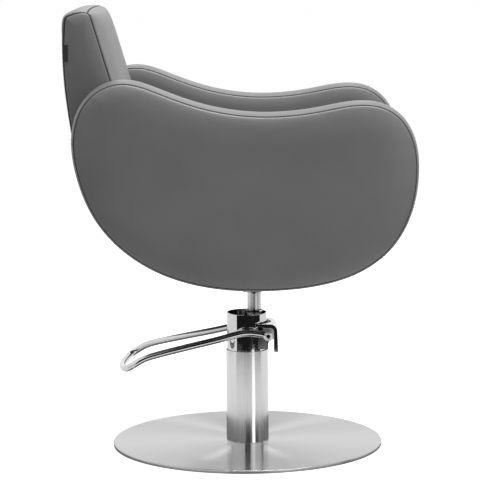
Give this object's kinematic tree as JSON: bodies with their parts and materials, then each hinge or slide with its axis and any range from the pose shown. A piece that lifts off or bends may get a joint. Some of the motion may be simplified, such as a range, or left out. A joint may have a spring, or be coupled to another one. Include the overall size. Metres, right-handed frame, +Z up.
{
  "type": "hairdressing chair",
  "caption": "Hairdressing chair with a padded seat, leaning back and bean-shaped side panels on a hydraulic foot-pump column and a flat round steel base.",
  "frame": {"origin": "on the floor, on the axis of the round base and the pump column", "axes": "+X to the front of the chair, +Y to the sitter's left, +Z up"},
  "size_m": [0.7182, 0.66, 0.9448],
  "materials": {
    "leatherette": "satin",
    "chrome": "polished",
    "stainless": "satin",
    "steel": "satin",
    "dark_steel": "satin",
    "cast": "matte",
    "bronze": "satin",
    "rubber": "matte",
    "plywood": "matte",
    "tape": "matte"
  },
  "bodies": {
    "base": {"base_pad": "rubber", "base_plate": "cast", "base_cover": "stainless", "base_bolt_1": "steel", "base_bolt_2": "steel", "base_bolt_3": "steel", "base_bolt_4": "steel", "pump_tank": "cast", "column_sleeve": "stainless", "valve_block": "steel", "main_cylinder": "steel", "plunger_barrel": "steel", "release_seat": "bronze", "pump_head": "chrome", "rod_gland": "chrome", "wiper_seal": "rubber", "pivot_bracket": "steel", "pivot_bush_right": "bronze", "pivot_bush_left": "bronze"},
    "piston": {"piston_head": "steel", "piston_seal": "rubber"},
    "seat": {"piston_rod": "chrome", "seat_socket": "steel", "socket_screw_right": "dark_steel", "socket_screw_rear": "dark_steel", "seat_mount_plate": "dark_steel", "mount_bolt_1": "steel", "mount_bolt_2": "steel", "mount_bolt_3": "steel", "mount_bolt_4": "steel", "seat_bearer_front": "dark_steel", "seat_bearer_rear": "dark_steel", "panel_bolt_right_front": "steel", "panel_bolt_right_rear": "steel", "panel_bolt_left_front": "steel", "panel_bolt_left_rear": "steel", "seat_board": "plywood", "seat_cushion": "leatherette", "right_side_panel": "leatherette", "left_side_panel": "leatherette", "right_panel_core": "plywood", "left_panel_core": "plywood", "backrest": "leatherette", "backrest_core": "plywood", "back_bar_right": "dark_steel", "back_bar_left": "dark_steel", "seam_tag": "tape"},
    "lever": {"pump_lever": "chrome", "pivot_pin": "dark_steel", "lever_grub_right": "dark_steel", "lever_grub_left": "dark_steel", "rocker_fork": "steel", "lever_guard": "chrome"},
    "plunger": {"pump_plunger": "steel", "plunger_spring": "steel"},
    "release": {"release_pin": "steel"}
  },
  "joints": [
    {"name": "seat_lift", "type": "slide", "parent": "base", "child": "piston", "axis": [0, 0, 1], "range_m": [0, 0.13]},
    {"name": "seat_swivel", "type": "hinge", "parent": "piston", "child": "seat", "pos_m": [0.016, 0, 0.38], "axis": [0, 0, 1], "continuous": true},
    {"name": "lever_press", "type": "hinge", "parent": "base", "child": "lever", "pos_m": [0.0454, 0, 0.244], "axis": [0, -1, 0], "range_deg": [0, 20], "stiffness_Nm_per_rad": 15, "springref_deg": -17.19},
    {"name": "plunger_slide", "type": "slide", "parent": "base", "child": "plunger", "axis": [0, 0, -1], "range_m": [0, 0.0237], "deforming": ["plunger_spring"]},
    {"name": "release_push", "type": "slide", "parent": "base", "child": "release", "axis": [0, 0, -1], "range_m": [0, 0.0025], "stiffness_N_per_m": 800, "springref_m": -0.002}
  ],
  "couplings": [
    {"joint": "plunger_slide", "follows": "lever_press", "m_per_rad": 0.06765}
  ]
}
